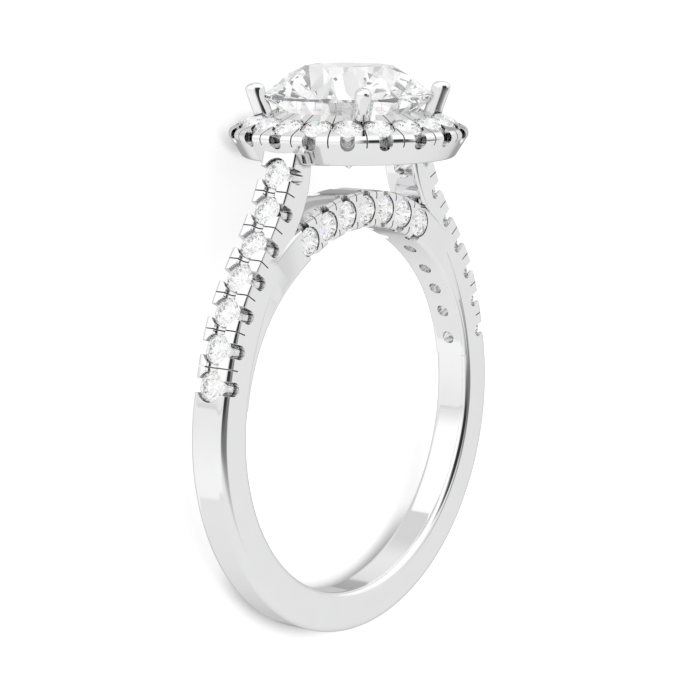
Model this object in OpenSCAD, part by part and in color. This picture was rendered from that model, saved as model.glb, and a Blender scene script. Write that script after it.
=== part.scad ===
// Halo ring: a cathedral shank with pave shoulders, a pave arch below a
// round halo, and one round brilliant held by four claws.
// The ring is worked out upright, with the finger hole's axis along Y and
// the head up along Z. lay() then lays it on its side, where it rests on
// the halo's rim and the lower edge of the band.

/* [Shank] */
// Inside diameter of the finger hole
finger_d = 16.5; // [14:0.1:19]
// Thickness of the plain band
band_t = 1.82; // [1.4:0.02:2.2]
// Width of the band along the finger
band_w = 1.8; // [1.5:0.01:2.2]
// Rounding of the band's outer edges
edge_out = 0.36; // [0.1:0.01:0.42]
// Rounding of the band's inner edges
edge_in = 0.36; // [0.1:0.01:0.42]
// Rounding of the shoulders' and the arch's edges
edge_arm = 0.2; // [0.1:0.01:0.3]

/* [Arch] */
// Outer radius of the arch over the finger
arch_ro = 9.9; // [9.4:0.05:10.2]
// Half width of the arch
arch_hw = 1.0; // [0.9:0.01:1.2]

/* [Halo] */
// Outer radius of the halo's rim
halo_r = 5.3; // [5:0.01:5.6]
// Radius of the halo's opening under the stone
halo_ri = 3.2; // [3.15:0.01:3.4]
// Height of the halo's underside above the finger hole's axis
halo_z0 = 11.4; // [11.2:0.01:11.6]
// Height of the widest line of the rim
rim_z = 12.45; // [12.3:0.01:12.6]
// Slope of the halo's top, falling outwards, in degrees
halo_slope = 21; // [12:1:28]
// Stones round the halo
halo_n = 20; // [16:1:20]
// Radius of the circle of halo stones
halo_stone_r = 4.36; // [4.2:0.01:4.4]
// Outward lean of the halo stones, in degrees
halo_tilt = 25; // [18:1:26]

/* [Pave] */
// Diameter of the stones in the halo
halo_d = 1.34; // [1.1:0.01:1.35]
// Diameter of the stones in the arch
small_d = 1.27; // [1.1:0.01:1.3]
// Diameter of the stones in the shoulders
shoulder_d = 1.3; // [1.1:0.01:1.4]
// Clear space round each small stone
seat_gap = 0.02; // [0.01:0.005:0.05]
// Stones in one shoulder
shoulder_n = 7; // [3:1:7]
// Distance from stone to stone along a shoulder
shoulder_pitch = 1.62; // [1.5:0.01:1.64]
// Width of the saw cuts that split the beads
saw = 0.05; // [0.04:0.01:0.1]
// Stones on one side of the arch
arch_n = 7; // [3:2:7]
// Angle between the arch's stones, in degrees
arch_step = 9; // [8.6:0.1:9.4]
// Radius of the line of stones on the arch
arch_stone_r = 9.07; // [9:0.01:9.15]

/* [Centre stone] */
// Diameter of the centre stone
stone_d = 7.44; // [7:0.01:7.5]
// Height of its table above the finger hole's axis
table_z = 15.4; // [15.2:0.01:15.6]
// Height of the upper edge of its girdle
girdle_z = 14.12; // [14:0.01:14.2]
// Thickness of its girdle
girdle_t = 0.1; // [0.05:0.01:0.15]
// Width of its table across the corners, as a share of the diameter
table_share = 0.52; // [0.5:0.01:0.6]
// Angle of the pavilion's main facets
pavilion_a = 40.8; // [39:0.1:42]
// Clear space between the centre stone and the metal
stone_gap = 0.03; // [0.02:0.005:0.05]

/* [Claws] */
// Width of a claw
claw_w = 0.7; // [0.5:0.01:0.8]
// Height of the claws' tips
claw_z = 14.66; // [14.5:0.01:14.8]

/* [Hidden] */
$fa = 4;
$fs = 0.08;

ri = finger_d / 2;
ro = ri + band_t;
hw = band_w / 2;

// ---- the ring's way of lying -------------------------------------------
// It touches the floor at the halo's widest line and at the outer corner of
// the band's side face, so the line through both is the floor.
lie = atan((halo_r - hw) / (rim_z + ro - edge_out));
drop = hw * cos(lie) + (ro - edge_out) * sin(lie);
table_r = stone_d * table_share / 2;
front = table_z * cos(lie) + table_r * sin(lie);
back = ro * cos(lie) + (hw - edge_out) * sin(lie);

module lay() {
    translate([0, (back - front) / 2, drop]) rotate([lie - 90, 0, 0]) children();
}

// ---- curves of the shoulder, as [x, z] ----------------------------------
// Each shoulder leaves the band at 80 degrees from the top and climbs to the
// halo along one curve outside and one inside.
//          start             leaves towards    arrives from      end
outer_c = [[9.907, 1.747], [8.903, 7.443], [6.464, 7.457], [5.035, 11.83]];
inner_c = [[8.200, 1.200], [7.400, 8.100], [3.600, 8.000], [3.780, 11.95]];
arm_hw = hw - 0.005;
arm_steps = 20;
arm_end = 1.03;
arm_root = [88, 85.5, 83];
// the edges change from the band's rounding to the shoulder's on the way up
arm_soft = 0.35;
function part_way(j) = min(1, max(0, (j - len(arm_root)) / arm_steps * arm_end / arm_soft));
function eased(k) = k * k * (3 - 2 * k);
function bez(c, t) = pow(1 - t, 3) * c[0] + 3 * t * pow(1 - t, 2) * c[1] + 3 * t * t * (1 - t) * c[2] + pow(t, 3) * c[3];
function bez_d(c, t) = 3 * pow(1 - t, 2) * (c[1] - c[0]) + 6 * t * (1 - t) * (c[2] - c[1]) + 3 * t * t * (c[3] - c[2]);
function polar(r, a) = [r * sin(a), r * cos(a)];
function unit(v) = v / norm(v);
arm_out = concat([for (a = arm_root) polar(ro - 0.01, a)], [for (i = [0:arm_steps]) bez(outer_c, i * arm_end / arm_steps)]);
arm_in = concat([for (a = arm_root) polar(ri + 0.005, a)], [for (i = [0:arm_steps]) bez(inner_c, i * arm_end / arm_steps)]);

// Length along the outer curve, to space the stones on it.
fine = 60;
curve_pts = [for (i = [0:fine]) bez(outer_c, i / fine)];
function run(i) = i == 0 ? 0 : run(i - 1) + norm(curve_pts[i] - curve_pts[i - 1]);
lengths = [for (i = [0:fine]) [run(i), i / fine]];
curve_len = run(fine);
first_stone = curve_len - 0.80;
function at_length(s) = lookup(s, lengths);

// ---- the parts of the metal ---------------------------------------------
corner = 1 - sqrt(0.5);

// Section of a bent bar, as [radius, along the finger], with rounded edges.
module bar_section(r0, r1, w, e, f) {
    polygon([
        [r0 + f, w], [r0 + f * corner, w - f * corner], [r0, w - f],
        [r0, f - w], [r0 + f * corner, f * corner - w], [r0 + f, -w],
        [r1 - e, -w], [r1 - e * corner, e * corner - w], [r1, e - w],
        [r1, w - e], [r1 - e * corner, w - e * corner], [r1 - e, w]
    ]);
}

// The plain band, from one shoulder round the bottom to the other.
module band() {
    rotate([90, 0, 0]) rotate([0, 0, 174]) rotate_extrude(angle = 192) bar_section(ri, ro, hw, edge_out, edge_in);
}

// One shoulder, on the right: a bar of even width whose edges are rounded.
function arm_ring(o, i, k) = let (n = unit(i - o), c = corner,
    e = edge_out + (edge_arm - edge_out) * k, f = edge_in + (edge_arm - edge_in) * k)
    [for (q = [[o, arm_hw - e], [o + n * e * c, arm_hw - e * c], [o + n * e, arm_hw],
               [i - n * f, arm_hw], [i - n * f * c, arm_hw - f * c], [i, arm_hw - f],
               [i, f - arm_hw], [i - n * f * c, f * c - arm_hw], [i - n * f, -arm_hw],
               [o + n * e, -arm_hw], [o + n * e * c, e * c - arm_hw], [o, e - arm_hw]])
        [q[0][0], q[1], q[0][1]]];
module shoulder() {
    stations = len(arm_out);
    pts = [for (j = [0:stations - 1]) for (p = arm_ring(arm_out[j], arm_in[j], eased(part_way(j)))) p];
    polyhedron(points = pts, faces = concat(
        [[for (k = [0:11]) k]],
        [for (j = [0:stations - 2]) for (k = [0:11])
            [j * 12 + (k + 1) % 12, j * 12 + k, (j + 1) * 12 + k, (j + 1) * 12 + (k + 1) % 12]],
        [[for (k = [11:-1:0]) (stations - 1) * 12 + k]]), convexity = 4);
}

// The arch that closes the finger hole at the top. It is of even width below
// the halo and tapers where it runs out into the shoulders.
arch_taper_x = 4.62;
arch_thin_x = 7.3;
arch_thin = arm_hw - 0.03;
module arch() {
    side = [[10.5, arch_thin], [arch_thin_x, arch_thin], [arch_taper_x, arch_hw + 0.01], [arch_taper_x - 0.1, arch_hw + 0.3]];
    intersection() {
        rotate([90, 0, 0]) rotate([0, 0, 8]) rotate_extrude(angle = 164) bar_section(ri, arch_ro, arch_hw, edge_arm, edge_arm);
        linear_extrude(height = 12) polygon(concat(
            side, [for (i = [3:-1:0]) [-side[i][0], side[i][1]]],
            [for (p = side) [-p[0], -p[1]]], [for (i = [3:-1:0]) [side[i][0], -side[i][1]]]));
    }
}

// The halo's ring, with its round edge and its sloping top.
rim_rr = 0.3;
rim_c = [halo_r - rim_rr, rim_z];
function rim_at(a) = rim_c + rim_rr * [cos(a), sin(a)];
function top_z(r) = rim_at(90 - halo_slope)[1] + (rim_at(90 - halo_slope)[0] - r) * tan(halo_slope);
module halo() {
    rotate_extrude() polygon([
        [halo_ri, halo_z0], [4.60, halo_z0], [4.71, halo_z0 + 0.04], [4.78, halo_z0 + 0.13],
        rim_at(-32), rim_at(0), rim_at(35), rim_at(90 - halo_slope),
        [halo_ri, top_z(halo_ri)]
    ]);
}

// One claw, leaning outwards on the +X side. Its outer face is round.
claw_lean = 18;
claw_foot = 13.1;
module claw() {
    intersection() {
        rotate([90, 0, 0]) linear_extrude(height = 1, center = true) polygon([
            [3.22, 12.75], [4.08, 12.75], [4.17, 13.15], [4.57, claw_z - 0.3],
            [4.54, claw_z - 0.17], [4.45, claw_z - 0.06], [4.30, claw_z], [3.98, claw_z],
            [3.83, claw_z - 0.05], [3.74, claw_z - 0.14], [3.70, claw_z - 0.28], [3.38, 13.39]
        ]);
        translate([4.17 - claw_w / 2 / cos(claw_lean), 0, claw_foot]) rotate([0, claw_lean, 0]) union() {
            translate([0, 0, -1]) cylinder(d = claw_w, h = 4);
            translate([-1.6, -claw_w / 2 + 0.008, -1]) cube([1.6, claw_w - 0.016, 4]);
        }
        rotate([90, 0, 90]) linear_extrude(height = 6) union() {
            translate([0, claw_z - claw_w / 2 - 0.01]) circle(r = claw_w / 2 + 0.01);
            translate([-claw_w / 2, 12.5]) square([claw_w, claw_z - claw_w / 2 - 12.5]);
        }
    }
}

// ---- cuts for the small stones ------------------------------------------
// A seat: a round recess down to the girdle, a cone for the pavilion and a
// drilled hole below it. The metal's surface is at z = 0.
module seat(d, depth, through, above = 0.6) {
    r = d / 2 + seat_gap;
    rotate_extrude() polygon([[0, above], [r, above], [r, -depth], [0.3, -depth - (r - 0.3) * 0.95], [0.3, -through], [0, -through]]);
}

// A round-bottomed slot along y that opens the seat to the sides.
module side_slot(r, depth, half) {
    rotate([90, 0, 0]) linear_extrude(height = 2 * half, center = true) union() {
        translate([0, -depth]) circle(r = r);
        translate([0.01 - r, -depth]) square([2 * r - 0.02, depth + 0.6]);
    }
}

// Which of a shoulder's drilled holes reach the finger hole.
function drill(i) = i < 2 ? 1.75 : 3.2;

module shoulder_cuts() {
    for (i = [0:shoulder_n - 1]) {
        t = at_length(first_stone - i * shoulder_pitch);
        p = bez(outer_c, t);
        v = unit(bez_d(outer_c, t));
        translate([p[0], 0, p[1]]) rotate([0, 90 + atan2(v[0], v[1]), 0]) {
            seat(shoulder_d, 0.2, drill(i));
            side_slot(0.3, 0.57, 1.2);
        }
    }
    // saw cut and saddle between neighbours
    for (i = [0:shoulder_n - 2]) {
        t = at_length(first_stone - (i + 0.5) * shoulder_pitch);
        p = bez(outer_c, t);
        v = unit(bez_d(outer_c, t));
        translate([p[0], 0, p[1]]) rotate([0, 90 + atan2(v[0], v[1]), 0]) {
            translate([-saw / 2, -1.2, -0.62]) cube([saw, 2.4, 1.2]);
            translate([-0.3, 0, 0.06]) rotate([0, 90, 0]) cylinder(r = 0.33, h = 0.6);
        }
    }
}

module arch_cuts() {
    span = (arch_n - 1) / 2;
    for (k = [-span:span]) {
        a = k * arch_step;
        rotate([0, a, 0]) translate([0, -arch_hw, arch_stone_r]) rotate([90, 0, 0]) {
            seat(small_d, 0.05, 0.85);
            side_slot(0.26, 0.27, 0.95);
        }
    }
    for (k = [0.5 - span:span - 0.5]) {
        a = k * arch_step;
        rotate([0, a, 0]) for (z = [[8.0, 0.62], [9.52, 0.68]])
            translate([-saw / 2, -arch_hw - 0.3, z[0]]) cube([saw, 0.62, z[1]]);
    }
}

module halo_cuts() {
    for (k = [0:halo_n - 1]) rotate([0, 0, k * 360 / halo_n]) {
        translate([halo_stone_r, 0, top_z(halo_stone_r)]) rotate([0, halo_tilt, 0]) seat(halo_d, 0.09, 2.2, 0.12);
        // slot through the rim
        translate([4.3, 0, 12.36]) rotate([0, 90, 0]) rotate([0, 0, 90]) linear_extrude(height = 1.4) union() {
            circle(r = 0.3);
            translate([-0.29, 0]) square([0.58, 1.1]);
        }
        // smaller slot through the inner edge
        translate([2.9, 0, 13.24]) rotate([0, 90, 0]) rotate([0, 0, 90]) linear_extrude(height = 1.0) union() {
            circle(r = 0.2);
            translate([-0.19, 0]) square([0.38, 0.6]);
        }
        // saw cut beside it, through the rim
        rotate([0, 0, 180 / halo_n]) translate([4.35, -saw / 2, 12.2]) cube([1.37, saw, 1.1]);
    }
    // saw cuts through the inner edge, left out where the claws stand
    for (k = [0:halo_n - 1]) if (abs((k + 0.5) * 360 / halo_n % 90 - 45) > 6)
        rotate([0, 0, (k + 0.5) * 360 / halo_n]) translate([2.9, -saw / 2, 12.85]) cube([1.35, saw, 1.1]);
}

// Space that the centre stone takes, with its clearance.
pav_depth = stone_d / 2 * tan(pavilion_a);
module stone_room() {
    g = stone_gap;
    r = stone_d / 2;
    zb = girdle_z - girdle_t;
    rotate_extrude() polygon([
        [0, zb - pav_depth - g / cos(pavilion_a)], [r + g, zb - g / cos(pavilion_a) + g * tan(pavilion_a)],
        [r + g, girdle_z + 0.03], [table_r, table_z + 0.05], [0, table_z + 0.05]
    ]);
}

// ---- nodes ---------------------------------------------------------------
// All the metal is soldered into one piece.
module ring_setting() {
    color([0.88, 0.88, 0.9]) lay() difference() {
        union() {
            band();
            shoulder();
            mirror([1, 0, 0]) shoulder();
            arch();
            halo();
            for (a = [45:90:315]) rotate([0, 0, a]) claw();
        }
        shoulder_cuts();
        mirror([1, 0, 0]) shoulder_cuts();
        arch_cuts();
        mirror([0, 1, 0]) arch_cuts();
        halo_cuts();
        stone_room();
    }
}

// The round brilliant: a disc whose facets are ground one by one. Each row
// is a tier: how many facets, angle of the first, tilt from the horizontal
// and distance of the facet's plane from the point [0, 0, girdle_z].
crown_h = table_z - girdle_z;
bezel_a = atan(crown_h / (stone_d / 2 - table_r));
star_top = [table_r * cos(22.5), crown_h];
star_r = star_top[0] + 0.5 * (stone_d / 2 - star_top[0]);
star_z = crown_h - (star_r * cos(22.5) - table_r) * tan(bezel_a);
star_a = atan((star_top[1] - star_z) / (star_r - star_top[0]));
// the upper girdle facets pass through the star's tip and the girdle
half_a = atan(star_z / (stone_d / 2 - star_r * cos(11.25)) * 1.0);
// the lower girdle facets reach four fifths of the way to the point
low_r = stone_d / 2 * 0.22;
low_z = pav_depth - low_r * cos(22.5) * tan(pavilion_a);
low_a = atan(low_z / (stone_d / 2 - low_r * cos(11.25)));
crown_tiers = [
    //  count, first angle, tilt,    distance
    [8, 0, bezel_a, stone_d / 2 * sin(bezel_a)],
    [8, 22.5, star_a, star_top[0] * sin(star_a) + crown_h * cos(star_a)],
    [16, 11.25, half_a, stone_d / 2 * sin(half_a)]
];
pavilion_tiers = [
    [8, 0, pavilion_a, stone_d / 2 * sin(pavilion_a)],
    [16, 11.25, low_a, stone_d / 2 * sin(low_a)]
];
module facet(angle, tilt, distance) {
    rotate([0, 0, angle]) rotate([0, tilt, 0]) translate([-6, -6, distance]) cube([12, 12, 6]);
}
module centre_stone() {
    color([0.95, 0.97, 1, 0.5]) lay() difference() {
        translate([0, 0, girdle_z - girdle_t - pav_depth - 0.1])
            cylinder(d = stone_d, h = table_z - girdle_z + girdle_t + pav_depth + 0.1, $fn = 96);
        for (t = crown_tiers) for (k = [0:t[0] - 1])
            translate([0, 0, girdle_z]) facet(t[1] + k * 360 / t[0], t[2], t[3]);
        for (t = pavilion_tiers) for (k = [0:t[0] - 1])
            translate([0, 0, girdle_z - girdle_t]) mirror([0, 0, 1]) facet(t[1] + k * 360 / t[0], t[2], t[3]);
    }
}

ring_setting();
centre_stone();
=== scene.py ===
import math

import bmesh
import bpy
import numpy as np
from mathutils import Matrix, Vector


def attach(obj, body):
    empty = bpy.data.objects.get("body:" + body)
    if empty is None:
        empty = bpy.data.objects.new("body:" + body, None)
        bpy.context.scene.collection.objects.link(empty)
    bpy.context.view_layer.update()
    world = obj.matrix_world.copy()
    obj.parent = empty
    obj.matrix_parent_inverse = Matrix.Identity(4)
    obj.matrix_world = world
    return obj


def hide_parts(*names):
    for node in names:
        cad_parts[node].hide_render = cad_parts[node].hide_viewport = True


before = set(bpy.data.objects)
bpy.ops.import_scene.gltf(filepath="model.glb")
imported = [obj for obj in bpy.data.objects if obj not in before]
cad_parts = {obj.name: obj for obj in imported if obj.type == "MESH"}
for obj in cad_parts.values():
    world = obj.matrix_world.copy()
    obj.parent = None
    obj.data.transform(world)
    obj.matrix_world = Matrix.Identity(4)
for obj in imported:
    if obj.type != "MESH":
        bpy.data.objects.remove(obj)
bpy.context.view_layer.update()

scene = bpy.context.scene

# ---------------------------------------------------------------- sizes, mm
# The ring is worked out upright: finger hole along Y, head up along Z.
RI, RO, HW = 8.25, 10.07, 0.90
EDGE_OUT, EDGE_IN, EDGE_ARM = 0.36, 0.36, 0.2
ARCH_RO, ARCH_HW, ARCH_THIN = 9.9, 1.0, 0.865
HALO_RI, HALO_Z0, RIM_R, RIM_X, RIM_Z, SLOPE = 3.2, 11.4, 0.3, 5.0, 12.45, 21.0
HALO_N, HALO_STONE_R, HALO_TILT = 20, 4.36, 25.0
SMALL_D, SHOULDER_D, HALO_D, GAP, SAW = 1.27, 1.30, 1.34, 0.02, 0.05
SHOULDER_N, PITCH = 7, 1.62
ARCH_N, ARCH_STEP, ARCH_STONE_R = 7, 9.0, 9.07
STONE_D, TABLE_Z, GIRDLE_Z, GIRDLE_T, PAV_A = 7.44, 15.4, 14.12, 0.1, 40.8
TABLE_R = STONE_D * 0.52 / 2
CLAW_W, CLAW_Z = 0.70, 14.66

# The way the ring lies on its side on the floor.
LIE = math.atan((RIM_X + RIM_R - HW) / (RIM_Z + RO - EDGE_OUT))
DROP = HW * math.cos(LIE) + (RO - EDGE_OUT) * math.sin(LIE)
FRONT = TABLE_Z * math.cos(LIE) + TABLE_R * math.sin(LIE)
BACK = RO * math.cos(LIE) + (HW - EDGE_OUT) * math.sin(LIE)
TURN = Matrix.Rotation(LIE - math.pi / 2, 4, "X")
LAY = Matrix.Scale(0.001, 4) @ Matrix.Translation((0, (BACK - FRONT) / 2, DROP)) @ TURN


def polar(r, a):
    return np.array([r * math.sin(math.radians(a)), r * math.cos(math.radians(a))])


def bez(c, t):
    return (1 - t) ** 3 * c[0] + 3 * t * (1 - t) ** 2 * c[1] + 3 * t * t * (1 - t) * c[2] + t ** 3 * c[3]


def eased(k):
    k = min(1.0, max(0.0, k))
    return k * k * (3 - 2 * k)


def bez_d(c, t):
    return 3 * (1 - t) ** 2 * (c[1] - c[0]) + 6 * t * (1 - t) * (c[2] - c[1]) + 3 * t * t * (c[3] - c[2])


# Shoulder curves as [x, z]: they leave the band's circles along their tangents.
O0, I0 = polar(RO, 80), polar(RI, 82)
OUTER = [O0, O0 + 5.784 * np.array([-math.cos(math.radians(80)), math.sin(math.radians(80))]), np.array([6.464, 7.457]), np.array([5.035, 11.83])]
INNER = [I0, I0 + 6.9 * np.array([-math.cos(math.radians(82)), math.sin(math.radians(82))]), np.array([3.60, 8.0]), np.array([3.78, 11.95])]


# ------------------------------------------------------------ mesh helpers
def mesh_object(name, verts, faces):
    me = bpy.data.meshes.new(name)
    me.from_pydata([tuple(map(float, v)) for v in verts], [], faces)
    me.update()
    ob = bpy.data.objects.new(name, me)
    scene.collection.objects.link(ob)
    return ob


def outward(ob):
    bm = bmesh.new()
    bm.from_mesh(ob.data)
    bmesh.ops.recalc_face_normals(bm, faces=bm.faces)
    if bm.calc_volume(signed=True) < 0:
        bmesh.ops.reverse_faces(bm, faces=bm.faces)
    bm.to_mesh(ob.data)
    bm.free()
    return ob


def loft(name, rings, closed=False, caps=True):
    """A tube through rings of equal length, each a closed loop of points."""
    rings = [np.asarray(r, float) for r in rings]
    n, m = len(rings[0]), len(rings)
    verts = np.concatenate(rings)
    faces = []
    for j in range(m if closed else m - 1):
        a, b = j * n, ((j + 1) % m) * n
        faces += [(a + k, a + (k + 1) % n, b + (k + 1) % n, b + k) for k in range(n)]
    if caps and not closed:
        faces.append(tuple(range(n - 1, -1, -1)))
        faces.append(tuple((m - 1) * n + k for k in range(n)))
    return outward(mesh_object(name, verts, faces))


def lathe(name, profile, segments):
    """Profile is a closed loop of (radius, z); radius 0 stays on the axis."""
    prof = np.asarray(profile, float)
    if prof[:, 0].min() > 1e-6:
        rings = []
        for k in range(segments):
            a = 2 * math.pi * k / segments
            rings.append(np.stack([prof[:, 0] * math.cos(a), prof[:, 0] * math.sin(a), prof[:, 1]], 1))
        return loft(name, rings, closed=True)
    pts = [p for p in prof]
    verts, index = [], []
    for r, z in pts:
        if r < 1e-6:
            index.append([len(verts)] * segments)
            verts.append((0, 0, z))
        else:
            start = len(verts)
            verts += [(r * math.cos(2 * math.pi * k / segments), r * math.sin(2 * math.pi * k / segments), z) for k in range(segments)]
            index.append([start + k for k in range(segments)])
    faces = []
    for a, b in zip(index[:-1], index[1:]):
        for k in range(segments):
            q = [a[k], a[(k + 1) % segments], b[(k + 1) % segments], b[k]]
            q = [v for i, v in enumerate(q) if v not in q[:i]]
            if len(q) > 2:
                faces.append(tuple(q))
    return outward(mesh_object(name, verts, faces))


def prism(name, outline, x0, x1):
    """An outline of (y, z) pushed along X from x0 to x1."""
    n = len(outline)
    verts = [(x0, y, z) for y, z in outline] + [(x1, y, z) for y, z in outline]
    faces = [tuple(range(n)), tuple(range(2 * n - 1, n - 1, -1))]
    faces += [(k, (k + 1) % n, n + (k + 1) % n, n + k) for k in range(n)]
    return outward(mesh_object(name, verts, faces))


def block(name, lo, hi):
    return prism(name, [(lo[1], lo[2]), (hi[1], lo[2]), (hi[1], hi[2]), (lo[1], hi[2])], lo[0], hi[0])


def rounded(points, radii, seg, support=0.012):
    """A closed outline with an arc at each corner, and a point just beside each arc."""
    pts = [np.array(p, float) for p in points]
    out = []
    for i, p in enumerate(pts):
        a, b = pts[i - 1], pts[(i + 1) % len(pts)]
        r = radii[i]
        if r <= 0:
            out.append(p)
            continue
        u, v = (a - p) / np.linalg.norm(a - p), (b - p) / np.linalg.norm(b - p)
        half = math.acos(max(-1, min(1, float(u @ v)))) / 2
        t = r / math.tan(half)
        c = p + (u + v) / np.linalg.norm(u + v) * (r / math.sin(half))
        s, e = p + u * t - c, p + v * t - c
        a0 = math.atan2(s[1], s[0])
        sweep = (math.atan2(e[1], e[0]) - a0 + math.pi) % (2 * math.pi) - math.pi
        if support:
            out.append(p + u * (t + support))
        for k in range(seg + 1):
            q = a0 + sweep * k / seg
            out.append(c + r * np.array([math.cos(q), math.sin(q)]))
        if support:
            out.append(p + v * (t + support))
    return out


def moved(ob, matrix, name=None):
    """A copy of ob with the matrix applied to its vertices."""
    me = ob.data.copy()
    me.transform(matrix)
    if matrix.determinant() < 0:
        me.flip_normals()
    o = bpy.data.objects.new(name or ob.name, me)
    scene.collection.objects.link(o)
    return o


def placed(ob, matrix):
    """Applies the matrix to ob's own vertices."""
    ob.data.transform(matrix)
    if matrix.determinant() < 0:
        ob.data.flip_normals()
    return ob


def merged(name, obs):
    bm = bmesh.new()
    for o in obs:
        bm.from_mesh(o.data)
    me = bpy.data.meshes.new(name)
    bm.to_mesh(me)
    bm.free()
    drop(*obs)
    o = bpy.data.objects.new(name, me)
    scene.collection.objects.link(o)
    return o


def drop(*obs):
    for o in obs:
        me = o.data
        bpy.data.objects.remove(o)
        if me.users == 0:
            bpy.data.meshes.remove(me)


def boolean(base, tool, how):
    """Union or difference, exact where both meshes are closed."""
    m = base.modifiers.new("cut", "BOOLEAN")
    m.operation, m.object, m.solver = how, tool, "MANIFOLD"
    bpy.context.view_layer.update()
    me = bpy.data.meshes.new_from_object(base.evaluated_get(bpy.context.evaluated_depsgraph_get()))
    if not len(me.polygons) or len(me.polygons) == len(base.data.polygons):
        m.solver = "EXACT"
        bpy.context.view_layer.update()
        me = bpy.data.meshes.new_from_object(base.evaluated_get(bpy.context.evaluated_depsgraph_get()))
        print("exact solver used for", tool.name)
    base.modifiers.remove(m)
    old = base.data
    base.data = me
    bpy.data.meshes.remove(old)
    drop(tool)
    return base


def rot(a, axis):
    return Matrix.Rotation(math.radians(a), 4, axis)


def at(x, y, z):
    return Matrix.Translation((x, y, z))


MIRROR_X = Matrix.Scale(-1, 4, (1, 0, 0))
MIRROR_Y = Matrix.Scale(-1, 4, (0, 1, 0))


# ------------------------------------------------------- metal, whole forms
def shank():
    """Plain band and both shoulders: one bar that ends under the halo."""
    half = []
    for a in np.arange(180.0, 80.0, -1.0):
        half.append((polar(RO, a), polar(RI, 180 - (180 - a) * 98 / 100), 0.0))
    steps = 130
    for i in range(steps + 1):
        t = 1.03 * i / steps
        half.append((bez(OUTER, t), bez(INNER, t), eased(t / 0.35)))
    stations = [((-o[0], o[1]), (-i[0], i[1]), k) for o, i, k in reversed(half[1:])] + [(tuple(o), tuple(i), k) for o, i, k in half]
    rings = []
    for o, i, k in stations:
        o, i = np.array(o), np.array(i)
        length = np.linalg.norm(i - o)
        n = (i - o) / length
        # section in (across the wall from the outside, along the finger)
        e, f = EDGE_OUT + (EDGE_ARM - EDGE_OUT) * k, EDGE_IN + (EDGE_ARM - EDGE_IN) * k
        sec = rounded([(0, HW), (length, HW), (length, -HW), (0, -HW)], [e, f, f, e], 9)
        rings.append([(o[0] + n[0] * s, w, o[1] + n[1] * s) for s, w in sec])
    return loft("shank", rings)


def arch():
    rings = []
    for a in np.arange(-81.0, 81.01, 0.75):
        rings.append([])
        for s, side in rounded([(0, 1), (ARCH_RO - RI, 1), (ARCH_RO - RI, -1), (0, -1)], [EDGE_ARM] * 4, 7, 0.01):
            r = RI + s
            x = r * math.sin(math.radians(a))
            w = ARCH_HW + (ARCH_THIN - ARCH_HW) * eased((abs(x) - 4.3) / 3.1)
            y = math.copysign(w - (1 - abs(side)), side)
            rings[-1].append((x, y, r * math.cos(math.radians(a))))
    return loft("arch", rings)


def rim_at(a):
    return (RIM_X + RIM_R * math.cos(math.radians(a)), RIM_Z + RIM_R * math.sin(math.radians(a)))


def top_z(r):
    x, z = rim_at(90 - SLOPE)
    return z + (x - r) * math.tan(math.radians(SLOPE))


def halo():
    wall = rim_at(-32)
    corner = (wall[0] - (wall[1] - HALO_Z0) / math.tan(math.radians(58.1)), HALO_Z0)
    top = (RIM_X + RIM_R / math.sin(math.radians(90 - SLOPE)) , RIM_Z)
    # the rim's arc is listed point by point, the other corners are rounded
    arc = [rim_at(a) for a in np.linspace(-32, 90 - SLOPE, 15)]
    before = (wall[0] - 0.012 * math.cos(math.radians(58)), wall[1] - 0.012 * math.sin(math.radians(58)))
    x, z = rim_at(90 - SLOPE)
    after = (x - 0.012, z + 0.012 * math.tan(math.radians(SLOPE)))
    pts = [(HALO_RI, HALO_Z0), corner, before] + arc + [after, (HALO_RI, top_z(HALO_RI))]
    radii = [0.06, 0.22] + [0] * (len(arc) + 2) + [0.05]
    return lathe("halo", rounded(pts, radii, 7), 320)


def claw():
    """A leaning, nearly round bar with a domed tip, on the +X side."""
    def interp(z, table):
        return float(np.interp(z, [p[0] for p in table], [p[1] for p in table]))
    out_x = [(12.7, 4.06), (13.15, 4.17), (13.39, 4.23), (14.2, 4.525), (14.36, 4.57)]
    in_x = [(12.7, 3.22), (13.39, 3.38), (14.20, 3.66), (14.36, 3.70)]
    rings = []
    top = 14.36
    z_list = list(np.linspace(12.7, top, 14)) + [top + 0.30 * math.sin(math.radians(a)) for a in (7, 14, 21, 28, 36, 44, 52, 60, 68, 76, 84)]
    for z in z_list:
        if z <= top:
            x1, x0, w = interp(z, out_x), interp(z, in_x), CLAW_W / 2
        else:
            s = math.sqrt(max(0, 1 - ((z - top) / 0.30) ** 2))
            x1, x0, w = 4.10 + 0.47 * s ** 0.85, 4.10 - 0.40 * s ** 0.85, CLAW_W / 2 * s ** 0.85
        xc = (x0 + x1) / 2 + 0.04
        ring = []
        for k in range(48):
            q = 2 * math.pi * k / 48
            c, s = math.cos(q), math.sin(q)
            ring.append((xc + c * (x1 - xc if c > 0 else xc - x0), w * s, z))
        rings.append(ring)
    return loft("claw", rings)


# ------------------------------------------------------------------ cutters
def seat(d, depth, through, seg=44, above=0.6):
    r = d / 2 + GAP
    return lathe("seat", [(0, above), (r, above), (r, -depth), (0.3, -depth - (r - 0.3) * 0.95), (0.3, -through), (0, -through)], seg)


def u_outline(r, bottom_centre, top, half=None, seg=14):
    """A U in (y, z): round below, open above."""
    half = r if half is None else half
    pts = [(r * math.cos(q), bottom_centre + r * math.sin(q)) for q in np.linspace(math.pi, 2 * math.pi, seg + 1)]
    return [(-half, top)] + pts + [(half, top)]


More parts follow.
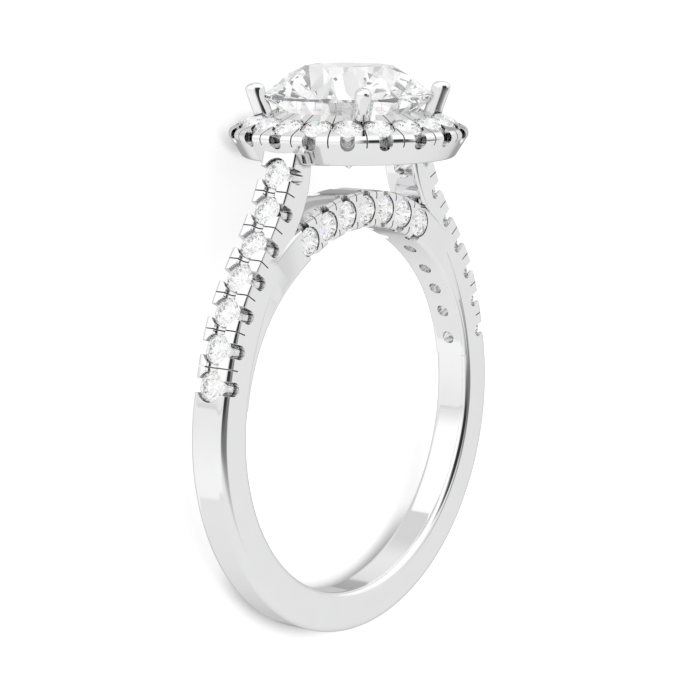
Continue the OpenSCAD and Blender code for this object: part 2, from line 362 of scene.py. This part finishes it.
def on_shoulder(s_back):
    """Frame on the right shoulder's outer face: X down the path, Z out."""
    global _lengths
    target = CURVE_LEN - s_back
    t = float(np.interp(target, _lengths[0], _lengths[1]))
    p, v = bez(OUTER, t), bez_d(OUTER, t)
    v = v / np.linalg.norm(v)
    return at(p[0], 0, p[1]) @ rot(90 + math.degrees(math.atan2(v[0], v[1])), "Y")


_ts = np.linspace(0, 1, 401)
_pts = np.array([bez(OUTER, t) for t in _ts])
_lengths = (np.concatenate([[0], np.cumsum(np.linalg.norm(np.diff(_pts, axis=0), axis=1))]), _ts)
CURVE_LEN = _lengths[0][-1]

SHOULDER_FRAMES = [on_shoulder(0.80 + i * PITCH) for i in range(SHOULDER_N)]
SHOULDER_BETWEEN = [on_shoulder(0.80 + (i + 0.5) * PITCH) for i in range(SHOULDER_N - 1)]


def arch_frame(k):
    return rot(k * ARCH_STEP, "Y") @ at(0, -ARCH_HW, ARCH_STONE_R) @ rot(90, "X")


def halo_frame(k):
    return rot(k * 360 / HALO_N, "Z") @ at(HALO_STONE_R, 0, top_z(HALO_STONE_R)) @ rot(HALO_TILT, "Y")


ARCH_KS = [k - (ARCH_N - 1) / 2 for k in range(ARCH_N)]
ARCH_FRAMES = [arch_frame(k) for k in ARCH_KS]
HALO_FRAMES = [halo_frame(k) for k in range(HALO_N)]


def build_metal():
    body = shank()
    for part in (arch(), halo()):
        boolean(body, part, "UNION")
    one = claw()
    for a in (45, 135, 225, 315):
        boolean(body, moved(one, rot(a, "Z")), "UNION")
    drop(one)

    # holes and recesses of the seats
    low, high, small = seat(SHOULDER_D, 0.2, 3.2), seat(SHOULDER_D, 0.2, 1.75), seat(SMALL_D, 0.05, 0.85)
    deep = seat(HALO_D, 0.09, 2.2, above=0.12)
    for side in (Matrix.Identity(4), MIRROR_X):
        boolean(body, merged("seats", [moved(high if i < 2 else low, side @ f) for i, f in enumerate(SHOULDER_FRAMES)]), "DIFFERENCE")
    for side in (Matrix.Identity(4), MIRROR_Y):
        boolean(body, merged("seats", [moved(small, side @ f) for f in ARCH_FRAMES]), "DIFFERENCE")
    boolean(body, merged("seats", [moved(deep, f) for f in HALO_FRAMES]), "DIFFERENCE")
    drop(low, high, small, deep)

    # slots at the sides of the seats
    u = prism("slot", u_outline(0.3, -0.57, 0.5), -1.2, 1.2)
    turned = moved(u, rot(90, "Z"))
    for side in (Matrix.Identity(4), MIRROR_X):
        boolean(body, merged("slots", [moved(turned, side @ f) for f in SHOULDER_FRAMES]), "DIFFERENCE")
    drop(u, turned)
    u = placed(prism("slot", u_outline(0.26, -0.27, 0.5), -0.95, 0.95), rot(90, "Z"))
    for side in (Matrix.Identity(4), MIRROR_Y):
        boolean(body, merged("slots", [moved(u, side @ f) for f in ARCH_FRAMES[::2]]), "DIFFERENCE")
        boolean(body, merged("slots", [moved(u, side @ f) for f in ARCH_FRAMES[1::2]]), "DIFFERENCE")
    drop(u)
    u = prism("slot", u_outline(0.3, 12.36, 13.5), 4.3, 5.7)
    boolean(body, merged("slots", [moved(u, rot(k * 360 / HALO_N, "Z")) for k in range(HALO_N)]), "DIFFERENCE")
    drop(u)
    u = prism("slot", u_outline(0.2, 13.24, 13.9), 2.9, 3.9)
    boolean(body, merged("slots", [moved(u, rot(k * 360 / HALO_N, "Z")) for k in range(HALO_N)]), "DIFFERENCE")
    drop(u)

    # saw cuts that split the beads, and the saddles between shoulder stones
    cut = block("saw", (-SAW / 2, -1.2, -0.62), (SAW / 2, 1.2, 0.6))
    saddle = placed(lathe("saddle", [(0, 0), (0.33, 0), (0.33, 0.6), (0, 0.6)], 28), at(-0.3, 0, 0.06) @ rot(90, "Y"))
    for side in (Matrix.Identity(4), MIRROR_X):
        boolean(body, merged("saws", [moved(cut, side @ f) for f in SHOULDER_BETWEEN]), "DIFFERENCE")
        boolean(body, merged("saddles", [moved(saddle, side @ f) for f in SHOULDER_BETWEEN]), "DIFFERENCE")
    drop(cut, saddle)
    for side in (Matrix.Identity(4), MIRROR_Y):
        cuts = []
        for k in ARCH_KS[:-1]:
            a = (k + 0.5) * ARCH_STEP
            for z0, z1 in ((8.0, 8.62), (9.52, 10.2)):
                cuts.append(placed(block("saw", (-SAW / 2, -ARCH_HW - 0.3, z0), (SAW / 2, 0.32 - ARCH_HW, z1)), side @ rot(a, "Y")))
        boolean(body, merged("saws", cuts), "DIFFERENCE")
    cut = block("saw", (4.35, -SAW / 2, 12.2), (5.72, SAW / 2, 13.3))
    boolean(body, merged("saws", [moved(cut, rot((k + 0.5) * 360 / HALO_N, "Z")) for k in range(HALO_N)]), "DIFFERENCE")
    drop(cut)
    # through the inner edge too, but not where the claws stand
    cut = block("saw", (2.9, -SAW / 2, 12.85), (4.25, SAW / 2, 13.95))
    boolean(body, merged("saws", [moved(cut, rot((k + 0.5) * 360 / HALO_N, "Z")) for k in range(HALO_N) if k % 5 != 2]), "DIFFERENCE")
    drop(cut)

    # room for the centre stone
    g, r, zb = 0.03, STONE_D / 2, GIRDLE_Z - GIRDLE_T
    pav = r * math.tan(math.radians(PAV_A))
    ca, ta = math.cos(math.radians(PAV_A)), math.tan(math.radians(PAV_A))
    boolean(body, lathe("room", [(0, zb - pav - g / ca), (r + g, zb - g / ca + g * ta), (r + g, GIRDLE_Z + 0.03), (TABLE_R, TABLE_Z + 0.05), (0, TABLE_Z + 0.05)], 128), "DIFFERENCE")

    body.name = body.data.name = "ring_metal"
    bm = bmesh.new()
    bm.from_mesh(body.data)
    bmesh.ops.remove_doubles(bm, verts=bm.verts, dist=1e-5)
    bmesh.ops.dissolve_degenerate(bm, edges=bm.edges, dist=1e-5)
    bm.to_mesh(body.data)
    bm.free()
    body.data.transform(LAY)
    body.data.shade_smooth()
    body.data.set_sharp_from_angle(angle=math.radians(26))
    return body


# ------------------------------------------------------------------- stones
def brilliant(d, table=0.56, crown=0.155, girdle=0.02, pav_a=41.0, lower=0.24):
    """A round brilliant: table up along Z, the girdle's upper edge at z = 0."""
    r, rt, ch = d / 2, d * table / 2, d * crown
    gt, pd = d * girdle, d / 2 * math.tan(math.radians(pav_a))
    tb = ch / (r - rt)
    rs = rt * math.cos(math.radians(22.5)) + 0.5 * (r - rt * math.cos(math.radians(22.5)))
    zs = ch - (rs * math.cos(math.radians(22.5)) - rt) * tb
    rl = r * lower
    zl = -gt - pd + rl * math.cos(math.radians(22.5)) * math.tan(math.radians(pav_a))

    def ring(rad, z, n, first):
        return [(rad * math.cos(math.radians(first + k * 360 / n)), rad * math.sin(math.radians(first + k * 360 / n)), z) for k in range(n)]
    verts = ring(rt, ch, 8, 0) + ring(rs, zs, 8, 22.5) + ring(r, 0, 16, 0) + ring(r, -gt, 16, 0) + ring(rl, zl, 8, 22.5) + [(0, 0, -gt - pd)]
    T, S, U, L, P, C = 0, 8, 16, 32, 48, 56
    faces = [tuple(range(8))]
    for k in range(8):
        n = (k + 1) % 8
        faces += [(T + n, T + k, S + k), (T + k, S + (k - 1) % 8, U + 2 * k, S + k)]
        faces += [(S + k, U + 2 * k, U + 2 * k + 1), (S + k, U + 2 * k + 1, U + (2 * k + 2) % 16)]
        faces += [(L + 2 * k, P + k, L + 2 * k + 1), (L + 2 * k + 1, P + k, L + (2 * k + 2) % 16)]
        faces += [(L + 2 * k, P + (k - 1) % 8, C, P + k)]
    for k in range(16):
        n = (k + 1) % 16
        faces.append((U + k, L + k, L + n, U + n))
    return outward(mesh_object("brilliant", verts, faces))


def set_stones(name, d, depth, frames, spins):
    base = brilliant(d)
    obs = [moved(base, LAY @ f @ at(0, 0, -depth) @ rot(s, "Z")) for f, s in zip(frames, spins)]
    drop(base)
    return merged(name, obs)


# ---------------------------------------------------------------- materials
class Nodes:
    def __init__(self, tree):
        self.t = tree
        tree.nodes.clear()

    def __call__(self, kind, **values):
        n = self.t.nodes.new(kind)
        for key, v in values.items():
            if key.startswith("_"):
                setattr(n, key[1:], v)
        for key, v in values.items():
            if key.startswith("_"):
                continue
            name = key
            socket = n.inputs[int(name[1:])] if name[0] == "i" and name[1:].isdigit() else n.inputs[name.replace("__", " ")]
            if isinstance(v, bpy.types.NodeSocket):
                self.t.links.new(v, socket)
            else:
                socket.default_value = v
        return n

    def math(self, op, a, b=0.0, clamp=False):
        return self("ShaderNodeMath", _operation=op, _use_clamp=clamp, i0=a, i1=b).outputs[0]

    def link(self, a, b):
        self.t.links.new(a, b)


def new_material(name):
    m = bpy.data.materials.new(name)
    m.use_nodes = True
    return m, Nodes(m.node_tree)


def metal_material():
    m, n = new_material("polished_white_gold")
    out = n("ShaderNodeOutputMaterial")
    co = n("ShaderNodeTexCoord").outputs["Object"]
    # faint polishing haze and hairline marks in the roughness, a trace in the relief
    haze = n("ShaderNodeTexNoise", Vector=co, Scale=900.0, Detail=3.0, Roughness=0.55).outputs["Fac"]
    stretch = n("ShaderNodeMapping", Vector=co, Scale=(2600.0, 22000.0, 2600.0)).outputs[0]
    lines = n("ShaderNodeTexNoise", Vector=stretch, Scale=1.0, Detail=2.0, Roughness=0.6).outputs["Fac"]
    rough = n("ShaderNodeMapRange", i0=haze, i1=0.35, i2=0.7, i3=0.045, i4=0.085).outputs[0]
    rough = n.math("ADD", rough, n("ShaderNodeMapRange", i0=lines, i1=0.6, i2=0.8, i3=0.0, i4=0.03).outputs[0])
    bevel = n("ShaderNodeBevel", _samples=6, Radius=0.00003).outputs[0]
    bump = n("ShaderNodeBump", Strength=0.02, Distance=0.00002, Height=haze, Normal=bevel).outputs[0]
    tone_and_painted_shade = n("ShaderNodeMapRange", i0=haze, i1=0.3, i2=0.7, i3=0.94, i4=0.96).outputs[0]
    # painted shade: drilled holes, slots and saw cuts are darkened by ambient occlusion
    hollow_shade_ao = n("ShaderNodeAmbientOcclusion", _samples=8, Distance=0.00032).outputs["AO"]
    # the painted shade is weaker right under the centre stone, on the plates there
    base = LAY @ Vector((0, 0, 0))
    rel = n("ShaderNodeVectorMath", _operation="SUBTRACT", i0=co, i1=tuple(base)).outputs[0]
    up = n("ShaderNodeSeparateXYZ", Vector=n("ShaderNodeVectorRotate", _rotation_type="X_AXIS", Vector=rel, Angle=math.pi / 2 - LIE).outputs[0])
    radius = n.math("SQRT", n.math("ADD", n.math("MULTIPLY", up.outputs["X"], up.outputs["X"]), n.math("MULTIPLY", up.outputs["Y"], up.outputs["Y"])))
    near = n("ShaderNodeMapRange", i0=radius, i1=0.0039, i2=0.0041, i3=1.0, i4=0.0).outputs[0]
    high = n("ShaderNodeMapRange", i0=up.outputs["Z"], i1=0.0128, i2=0.0130, i3=0.0, i4=1.0).outputs[0]
    near = n.math("MULTIPLY", near, high)
    # and on the walls inside the rim's slots the painted shade is evened out, never as dark as elsewhere
    inside = n("ShaderNodeMapRange", i0=radius, i1=0.00500, i2=0.00508, i3=1.0, i4=0.0).outputs[0]
    slanted = n.math("SUBTRACT", radius, n.math("MULTIPLY", up.outputs["Z"], 0.62))
    inside = n.math("MULTIPLY", inside, n("ShaderNodeMapRange", i0=slanted, i1=-0.00245, i2=-0.00240, i3=1.0, i4=0.0).outputs[0])
    for low, high_z, start, end in ((0.01185, 0.01195, 0.0, 1.0), (0.01262, 0.01272, 1.0, 0.0)):
        inside = n.math("MULTIPLY", inside, n("ShaderNodeMapRange", i0=up.outputs["Z"], i1=low, i2=high_z, i3=start, i4=end).outputs[0])
    near = n.math("MAXIMUM", near, inside)
    low_end = n("ShaderNodeMapRange", i0=near, i1=0.0, i2=1.0, i3=0.36, i4=0.12).outputs[0]
    high_end = n("ShaderNodeMapRange", i0=near, i1=0.0, i2=1.0, i3=0.88, i4=0.62).outputs[0]
    # painted shade on the shoulders: the seats are shaded less, the slots at their sides shaded dark throughout by a
    # wider ambient occlusion
    side = n("ShaderNodeMapRange", i0=n.math("ABSOLUTE", up.outputs["X"]), i1=0.0049, i2=0.0050, i3=0.0, i4=1.0).outputs[0]
    side = n.math("MULTIPLY", side, n("ShaderNodeMapRange", i0=up.outputs["Z"], i1=0.01130, i2=0.01138, i3=1.0, i4=0.0).outputs[0])
    least = n.math("ADD", 0.05, n.math("MULTIPLY", n.math("MAXIMUM", side, inside), 0.27))
    tone_and_painted_shade = n.math("MULTIPLY", tone_and_painted_shade, n("ShaderNodeMapRange", _interpolation_type="SMOOTHSTEP", i0=hollow_shade_ao, i1=low_end, i2=high_end, i3=least, i4=1.0).outputs[0])
    side = n.math("MULTIPLY", side, n("ShaderNodeMapRange", i0=n.math("ABSOLUTE", up.outputs["Y"]), i1=0.00058, i2=0.00064, i3=0.0, i4=1.0).outputs[0])
    wide_shade_ao = n("ShaderNodeAmbientOcclusion", _samples=8, Distance=0.0006).outputs["AO"]
    wide_shade_ao = n("ShaderNodeMapRange", _interpolation_type="SMOOTHSTEP", i0=wide_shade_ao, i1=0.50, i2=0.88, i3=0.07, i4=1.0).outputs[0]
    tone_and_painted_shade = n.math("MULTIPLY", tone_and_painted_shade, n("ShaderNodeMix", _data_type="FLOAT", i0=side, i2=1.0, i3=wide_shade_ao).outputs[0])
    # painted shade: the walls inside the rim's slots are darker throughout
    tone_and_painted_shade = n.math("MULTIPLY", tone_and_painted_shade, n("ShaderNodeMapRange", i0=inside, i1=0.0, i2=1.0, i3=1.0, i4=0.66).outputs[0])
    colour = n("ShaderNodeCombineColor", Red=tone_and_painted_shade, Green=tone_and_painted_shade, Blue=n.math("MULTIPLY", tone_and_painted_shade, 1.005)).outputs[0]
    p = n("ShaderNodeBsdfPrincipled", Base__Color=colour, Roughness=rough, Metallic=1.0, Specular__Tint=(0.7, 0.7, 0.7, 1.0), Normal=bump)
    n.link(p.outputs[0], out.inputs["Surface"])
    return m


def gem_material(name, deepest=None, settles=None):
    m, n = new_material(name)
    out = n("ShaderNodeOutputMaterial")
    co = n("ShaderNodeTexCoord").outputs["Object"]
    speck = n("ShaderNodeTexNoise", Vector=co, Scale=1500.0, Detail=1.0).outputs["Fac"]
    tint = n("ShaderNodeMapRange", i0=speck, i1=0.3, i2=0.7, i3=0.985, i4=1.0).outputs[0]
    if deepest:
        # light that has crossed a small stone many times comes out dim: painted shade, a darker tint by ray depth
        depth = n("ShaderNodeLightPath").outputs["Ray Depth"]
        tint = n.math("MULTIPLY", tint, n("ShaderNodeMapRange", i0=depth, i1=deepest - 2, i2=deepest, i3=1.0, i4=0.25).outputs[0])
    colour = n("ShaderNodeCombineColor", Red=tint, Green=tint, Blue=n.math("MULTIPLY", tint, 1.01)).outputs[0]
    surface = n("ShaderNodeBsdfPrincipled", Base__Color=colour, Roughness=0.0, IOR=2.417, Transmission__Weight=1.0)
    if settles:
        # painted fire: a few patches of pure colour on light that is turned back inside
        depth = n("ShaderNodeLightPath").outputs["Ray Depth"]
        patch = n("ShaderNodeTexNoise", Vector=co, Scale=1300.0, Detail=0.0).outputs["Fac"]
        patch = n("ShaderNodeMapRange", i0=patch, i1=0.66, i2=0.70, i3=0.0, i4=1.0).outputs[0]
        patch = n.math("MULTIPLY", patch, n.math("GREATER_THAN", depth, 1.5))
        hue = n("ShaderNodeTexNoise", Vector=co, Scale=2500.0, Detail=0.0).outputs["Fac"]
        pure = n("ShaderNodeCombineColor", _mode="HSV", i0=n.math("FRACT", n.math("MULTIPLY", hue, 5.0)), i1=0.55, i2=1.0).outputs[0]
        mixed = n("ShaderNodeMix", _data_type="RGBA", i0=patch, i6=colour, i7=pure)
        n.link(mixed.outputs[2], surface.inputs["Base Color"])
        # and light that is turned back very often settles to one tone a facet: painted, as a tone on each facet where
        # it leaves the stone and as a glow in place of further bounces
        step = n("ShaderNodeVectorMath", _operation="SCALE", i0=(0.31, 0.17, 0.23), Scale=depth).outputs[0]
        turn = n("ShaderNodeVectorMath", _operation="ADD", i0=n("ShaderNodeNewGeometry").outputs["True Normal"], i1=step).outputs[0]
        turn = n("ShaderNodeTexNoise", Vector=turn, Scale=1.9, Detail=0.0).outputs["Fac"]
        turn = n("ShaderNodeMapRange", i0=turn, i1=0.44, i2=0.55, i3=0.20, i4=1.06).outputs[0]
        leaving = n("ShaderNodeNewGeometry").outputs["Backfacing"]
        facet = n("ShaderNodeMix", _data_type="FLOAT", i0=leaving, i2=1.0, i3=turn).outputs[0]
        tint = n.math("MULTIPLY", tint, n.math("MINIMUM", n.math("MULTIPLY", facet, facet), 1.0))
        n.link(n("ShaderNodeCombineColor", Red=tint, Green=tint, Blue=n.math("MULTIPLY", tint, 1.01)).outputs[0], mixed.inputs[6])
        painted_facet_glow = n("ShaderNodeEmission", Color=(1, 1, 1, 1), Strength=turn)
        surface = n("ShaderNodeMixShader", i0=n.math("GREATER_THAN", depth, settles + 0.5), i1=surface.outputs[0], i2=painted_facet_glow.outputs[0])
        # the girdle is ground and not polished, unevenly
        axis = tuple(TURN.to_3x3() @ Vector((0, 0, 1)))
        level = n("ShaderNodeVectorMath", _operation="DOT_PRODUCT", i0=n("ShaderNodeNewGeometry").outputs["True Normal"], i1=axis).outputs["Value"]
        girdle = n.math("LESS_THAN", n.math("ABSOLUTE", level), 0.15)
        patchy = n("ShaderNodeTexNoise", Vector=co, Scale=1100.0, Detail=1.0).outputs["Fac"]
        patchy = n("ShaderNodeMapRange", i0=patchy, i1=0.48, i2=0.54, i3=0.15, i4=0.9).outputs[0]
        ground = n("ShaderNodeBsdfDiffuse", Color=(0.30, 0.30, 0.31, 1.0))
        outside = n.math("LESS_THAN", depth, 0.5)
        girdle = n.math("MULTIPLY", n.math("MULTIPLY", girdle, patchy), outside)
        surface = n("ShaderNodeMixShader", i0=girdle, i1=surface.outputs[0], i2=ground.outputs[0])
        # painted reflection: mirrored in the metal, the stone is a plain, bright glow
        mirrored = n.math("MULTIPLY", n("ShaderNodeLightPath").outputs["Is Glossy Ray"], n.math("SUBTRACT", 1.0, leaving))
        mirrored = n.math("MULTIPLY", mirrored, n.math("LESS_THAN", depth, 2.5))
        painted_mirror_glow = n("ShaderNodeEmission", Color=(1, 1, 1, 1), Strength=0.80)
        surface = n("ShaderNodeMixShader", i0=mirrored, i1=surface.outputs[0], i2=painted_mirror_glow.outputs[0])
    if deepest:
        # light from the centre stone crosses the small ones unbent
        path = n("ShaderNodeLightPath")
        entering = n.math("SUBTRACT", 1.0, n("ShaderNodeNewGeometry").outputs["Backfacing"])
        late = n.math("MULTIPLY", entering, n.math("GREATER_THAN", path.outputs["Ray Depth"], 1.5))
        late = n.math("MAXIMUM", late, n.math("GREATER_THAN", path.outputs["Transparent Depth"], 0.5))
        clear = n("ShaderNodeBsdfTransparent", Color=(1, 1, 1, 1))
        surface = n("ShaderNodeMixShader", i0=late, i1=surface.outputs[0], i2=clear.outputs[0])
    n.link(surface.outputs[0], out.inputs["Surface"])
    return m


def floor_material():
    m, n = new_material("plain_floor")
    out = n("ShaderNodeOutputMaterial")
    co = n("ShaderNodeTexCoord").outputs["Object"]
    f = n("ShaderNodeTexNoise", Vector=co, Scale=60.0, Detail=2.0).outputs["Fac"]
    tone_and_painted_shade = n("ShaderNodeMapRange", i0=f, i1=0.3, i2=0.7, i3=0.42, i4=0.43).outputs[0]
    # a small contact shadow where something stands on it
    near = n("ShaderNodeAmbientOcclusion", _samples=8, Distance=0.0008).outputs["AO"]
    shade = n("ShaderNodeMapRange", _interpolation_type="SMOOTHSTEP", i0=near, i1=0.1, i2=0.9, i3=0.35, i4=1.0).outputs[0]
    tone_and_painted_shade = n.math("MULTIPLY", tone_and_painted_shade, shade)
    colour = n("ShaderNodeCombineColor", Red=tone_and_painted_shade, Green=tone_and_painted_shade, Blue=tone_and_painted_shade).outputs[0]
    p = n("ShaderNodeBsdfPrincipled", Base__Color=colour, Roughness=0.85, Emission__Color=(1, 1, 1, 1), Emission__Strength=n.math("MULTIPLY", shade, 0.8))
    n.link(p.outputs[0], out.inputs["Surface"])
    return m


# -------------------------------------------------------------------- build
metal = build_metal()
print("metal triangles", sum(len(p.vertices) - 2 for p in metal.data.polygons))
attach(metal, "root")
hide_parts("ring_setting")
metal.data.materials.clear()
metal.data.materials.append(metal_material())
metal.visible_transmission = False

gem_small = gem_material("small_brilliants", 8)
spins = [(k * 37) % 45 for k in range(64)]
sets = [
    ("shoulder_stones_right", SHOULDER_D, 0.2, SHOULDER_FRAMES, 0),
    ("shoulder_stones_left", SHOULDER_D, 0.2, [MIRROR_X @ f for f in SHOULDER_FRAMES], 9),
    ("arch_stones_front", SMALL_D, 0.05, ARCH_FRAMES, 18),
    ("arch_stones_back", SMALL_D, 0.05, [MIRROR_Y @ f for f in ARCH_FRAMES], 27),
    ("halo_stones", HALO_D, 0.09, HALO_FRAMES, 36),
]
for name, d, depth, frames, first in sets:
    ob = set_stones(name, d, depth, frames, spins[first:first + len(frames)])
    ob.data.materials.clear()
    ob.data.materials.append(gem_small)
    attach(ob, "root")

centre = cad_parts["centre_stone"]
gem_centre = gem_material("centre_brilliant", settles=4)
if not centre.material_slots:
    centre.data.materials.append(gem_centre)
for s in centre.material_slots:
    s.material = gem_centre

# -------------------------------------------------------------------- stage
bm = bmesh.new()
bmesh.ops.create_circle(bm, cap_ends=True, segments=96, radius=3.0)
me = bpy.data.meshes.new("floor")
bm.to_mesh(me)
bm.free()
floor = bpy.data.objects.new("floor", me)
scene.collection.objects.link(floor)
floor.location = (0, 0, 0)
# polished metal and stones mirror the room alone
floor.visible_glossy = floor.visible_transmission = False
me.materials.append(floor_material())

# ------------------------------------------------------------------- camera
UP_C = Vector((-83.960, -62.095, 21.443))
UP_F = Vector((0.791672, 0.584767, -0.176926)).normalized()
UP_R = UP_F.cross(Vector((0, 0, 1))).normalized()
UP_U = UP_R.cross(UP_F)
cam_data = bpy.data.cameras.new("camera")
cam = bpy.data.objects.new("camera", cam_data)
scene.collection.objects.link(cam)
spin3 = TURN.to_3x3()
axes = [spin3 @ v for v in (UP_R, UP_U, -UP_F)]
m3 = Matrix((axes[0], axes[1], axes[2])).transposed()
cam.matrix_world = Matrix.Translation(LAY @ UP_C) @ m3.to_4x4()
cam_data.sensor_fit = "AUTO"
cam_data.sensor_width = 36.0
cam_data.lens = 2364.375 / 700 * 36.0
cam_data.clip_start, cam_data.clip_end = 0.001, 20.0
scene.camera = cam

# -------------------------------------------------------------------- light
world = bpy.data.worlds.new("studio")
scene.world = world
world.use_nodes = True
W = Nodes(world.node_tree)
w_out = W("ShaderNodeOutputWorld")
# directions in the upright ring's frame: X right, Y away, Z towards the head
d = W("ShaderNodeVectorRotate", _rotation_type="X_AXIS", Vector=W("ShaderNodeTexCoord").outputs["Generated"], Angle=math.pi / 2 - LIE).outputs[0]


def direction(az, el):
    a, e = math.radians(az), math.radians(el)
    return Vector((-math.sin(a) * math.cos(e), -math.cos(a) * math.cos(e), math.sin(e)))


def dot(v):
    return W("ShaderNodeVectorMath", _operation="DOT_PRODUCT", i0=d, i1=tuple(v)).outputs["Value"]


def card(az, el, half_w, half_h, soft, roll=0.0):
    """1 inside a rectangle of the sky, 0 outside; angles in degrees."""
    c = direction(az, el)
    u = c.cross(Vector((0, 0, 1))).normalized()
    v = u.cross(c)
    q = Matrix.Rotation(math.radians(roll), 3, c)
    u, v = q @ u, q @ v
    w = dot(c)
    ahead = W.math("GREATER_THAN", w, 0.05)
    safe = W.math("MAXIMUM", w, 0.05)
    mask = ahead
    for axis, half in ((u, half_w), (v, half_h)):
        x = W.math("ABSOLUTE", W.math("DIVIDE", dot(axis), safe))
        lo, hi = math.tan(math.radians(half - soft)), math.tan(math.radians(min(84, half + soft)))
        m = W("ShaderNodeMapRange", _interpolation_type="SMOOTHSTEP", i0=x, i1=lo, i2=hi, i3=1.0, i4=0.0).outputs[0]
        mask = W.math("MULTIPLY", mask, m)
    return mask


def blend_in(base, level, mask):
    return W("ShaderNodeMix", _data_type="FLOAT", i0=mask, i2=base, i3=level).outputs[0]


sky = W("ShaderNodeSeparateXYZ", Vector=d)
el = sky.outputs["Z"]


def ramp(source, lo, hi, start, end):
    return W("ShaderNodeMapRange", _interpolation_type="SMOOTHSTEP", i0=source, i1=lo, i2=hi, i3=start, i4=end).outputs[0]


def band(base, lo, hi, change):
    """Adds change above the elevations lo to hi, in degrees."""
    return W.math("ADD", base, ramp(el, math.sin(math.radians(lo)), math.sin(math.radians(hi)), 0.0, change))


# a white room. To the left and behind: wall, a thin dark line where the soft
# light begins, and the light
side_room = band(1.0, -33.5, -31.5, 0.17)
side_room = band(side_room, -27, 1, -0.11)
side_room = band(side_room, 2.4, 3.2, -0.20)
side_room = band(side_room, 3.9, 4.8, 0.14)
side_room = band(side_room, 5, 15, 0.30)
# in front: a plain wall, brighter higher up
front_room = band(1.0, 14, 30, 0.30)
level = blend_in(front_room, side_room, ramp(dot(direction(126, 0)), 0.1, 0.5, 0.0, 1.0))
# far side: the duller end of the ceiling, brightening to the right as far as
# a grey wall
far = ramp(sky.outputs["X"], 0.10, 0.40, 0.85, 1.08)
far = W.math("ADD", far, ramp(sky.outputs["X"], 0.69, 0.73, 0.0, -0.42))
mask = W.math("MULTIPLY", ramp(sky.outputs["X"], -0.22, -0.20, 0.0, 1.0), ramp(sky.outputs["Y"], 0.2, 0.4, 0.0, 1.0))
mask = W.math("MULTIPLY", mask, ramp(el, math.sin(math.radians(6)), math.sin(math.radians(9)), 0.0, 1.0))
level = blend_in(level, far, mask)
level = blend_in(level, 0.62, card(-128, -19, 30, 9, 5))
level = blend_in(level, 1.0, card(-56, -16, 14, 12, 4))
# dark flags in front of the ring
level = blend_in(level, 0.24, card(2, -10, 42, 10, 8))
level = blend_in(level, 0.45, card(18, 30, 20, 9, 5))
level = blend_in(level, 0.04, card(16, 12, 24, 18, 6))
level = W.math("MULTIPLY", level, 0.816)


def specks(scale, low, high, at_low, at_high):
    """A few soft blots spread over the sky."""
    f = W("ShaderNodeTexNoise", Vector=d, Scale=scale, Detail=1.0, Roughness=0.4).outputs["Fac"]
    return W("ShaderNodeMapRange", _interpolation_type="SMOOTHSTEP", i0=f, i1=low, i2=high, i3=at_low, i4=at_high).outputs[0]


# light that has come through a stone: a bright tent with soft grey panels
# and a few small dark gaps, so that facets differ, and a little colour
tent = W.math("MULTIPLY", specks(2.3, 0.42, 0.58, 0.84, 1.14), specks(6.5, 0.31, 0.36, 0.5, 1.0))
through = W("ShaderNodeLightPath").outputs["Is Transmission Ray"]
level = blend_in(level, tent, through)
hue = W("ShaderNodeTexNoise", Vector=d, Scale=7.0, Detail=0.0).outputs["Fac"]
tint = W("ShaderNodeCombineColor", _mode="HSV", i0=W.math("FRACT", W.math("MULTIPLY", hue, 6.0)), i1=0.45, i2=1.0).outputs[0]
fire = W.math("MULTIPLY", specks(5.0, 0.66, 0.70, 0.0, 1.0), through)
colour = W("ShaderNodeMix", _data_type="RGBA", i0=fire, i6=(1, 1, 1, 1), i7=tint).outputs[2]
bg = W("ShaderNodeBackground", Color=colour, Strength=level)
W.link(bg.outputs[0], w_out.inputs["Surface"])


def area(name, place, target, size, watts, spread=180.0, glossy=False):
    ld = bpy.data.lights.new(name, "AREA")
    ld.shape, ld.size, ld.energy, ld.spread = "DISK", size, watts, math.radians(spread)
    lo = bpy.data.objects.new(name, ld)
    scene.collection.objects.link(lo)
    p, t = Vector(place), Vector(target)
    lo.matrix_world = Matrix.Translation(p) @ (t - p).to_track_quat("-Z", "Y").to_matrix().to_4x4()
    lo.visible_glossy = glossy
    lo.visible_transmission = glossy
    lo.visible_camera = False
    return lo


area("soft_top", (-0.15, 0.05, 0.6), (0, 0, 0), 0.6, 1.0)

scene.view_settings.view_transform = "Standard"
scene.view_settings.look = "None"
scene.view_settings.exposure = 0.0
scene.view_settings.gamma = 1.0
cy = scene.cycles
cy.use_denoising = True
cy.max_bounces, cy.diffuse_bounces, cy.glossy_bounces, cy.transmission_bounces = 40, 3, 32, 32
cy.caustics_reflective, cy.caustics_refractive = False, False
cy.sample_clamp_indirect = 4.0
